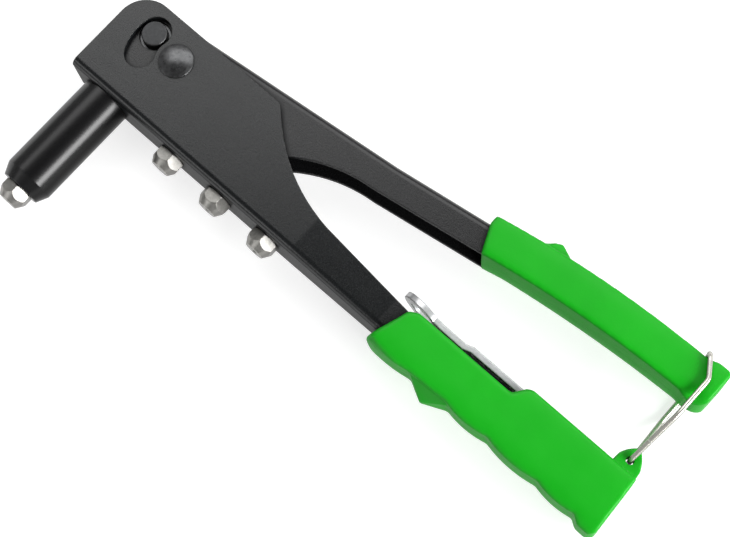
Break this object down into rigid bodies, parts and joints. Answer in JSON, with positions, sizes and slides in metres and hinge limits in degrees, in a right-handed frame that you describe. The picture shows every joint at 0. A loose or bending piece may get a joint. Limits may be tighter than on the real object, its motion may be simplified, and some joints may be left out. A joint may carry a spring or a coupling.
{
  "type": "hand riveter",
  "caption": "Hand riveter: stamped channel body and lever with moulded grips, barrel with hexagonal nosepiece, spare nosepieces, slide-out wrench and wire latch.",
  "frame": {"origin": "centre of the fitted nosepiece's tip face, on the barrel axis", "axes": "the tool lies on its side: +X out of the nose along the barrel axis, +Y along the handles towards the grips' ends, +Z square to the cheeks; z = 0 is the tool's mid-plane"},
  "size_m": [0.1277, 0.2621, 0.03],
  "materials": {
    "body_black": "satin black powder coat",
    "lever_black": "satin black powder coat",
    "sleeve_black": "semi-gloss black",
    "grip_green": "satin moulded vinyl",
    "dark_steel": "blackened",
    "steel": "ground",
    "nickel": "nickel plated, turned",
    "wrench_chrome": "bright plated sheet",
    "wire": "drawn, nickel plated"
  },
  "bodies": {
    "frame": {"body_frame": "body_black", "barrel_sleeve": "sleeve_black", "barrel_nut": "dark_steel", "nosepiece_fitted": "nickel", "nosepiece_spare_small": "nickel", "nosepiece_spare_medium": "nickel", "nosepiece_spare_large": "nickel", "pivot_rivet": "dark_steel", "pivot_bush": "steel", "lower_grip": "grip_green"},
    "lever": {"lever": "lever_black", "upper_grip": "grip_green", "drive_pin": "dark_steel", "drive_pin_bush_near": "dark_steel", "drive_pin_bush_far": "dark_steel"},
    "puller": {"draw_bar": "steel", "lock_ring": "steel", "jaw_case": "steel", "jaw_spring": "wire"},
    "jaw_upper": {"jaw_upper": "steel"},
    "jaw_lower": {"jaw_lower": "steel"},
    "jaw_pusher": {"jaw_pusher": "steel"},
    "latch": {"wire_latch": "wire"},
    "wrench": {"wrench": "wrench_chrome"}
  },
  "joints": [
    {"name": "lever_pivot", "type": "hinge", "parent": "frame", "child": "lever", "pos_m": [-0.081, 0.0143, 0], "axis": [0, 0, 1], "range_deg": [0, 38], "deforming": ["wire_latch"]},
    {"name": "puller_slide", "type": "slide", "parent": "frame", "child": "puller", "axis": [1, 0, 0], "range_m": [0, 0.0096]},
    {"name": "jaw_upper_slide", "type": "slide", "parent": "puller", "child": "jaw_upper", "axis": [-0.9847, 0.1744, 0], "range_m": [0, 0.0017]},
    {"name": "jaw_lower_slide", "type": "slide", "parent": "puller", "child": "jaw_lower", "axis": [-0.9847, -0.1744, 0], "range_m": [0, 0.0017]},
    {"name": "jaw_pusher_slide", "type": "slide", "parent": "puller", "child": "jaw_pusher", "axis": [-1, 0, 0], "range_m": [0, 0.0017], "deforming": ["jaw_spring"]},
    {"name": "latch_hinge", "type": "hinge", "parent": "frame", "child": "latch", "pos_m": [-0.0798, 0.2388, 0], "axis": [0, 0, -1], "range_deg": [0, 110]},
    {"name": "wrench_slide", "type": "slide", "parent": "frame", "child": "wrench", "axis": [0, -1, 0], "range_m": [0, 0.03]}
  ],
  "couplings": [
    {"joint": "puller_slide", "follows": "lever_pivot", "m_per_rad": 0.0143},
    {"joint": "jaw_upper_slide", "follows": "lever_pivot", "m_per_rad": 0.0024},
    {"joint": "jaw_lower_slide", "follows": "lever_pivot", "m_per_rad": 0.0024},
    {"joint": "jaw_pusher_slide", "follows": "lever_pivot", "m_per_rad": 0.002363}
  ]
}
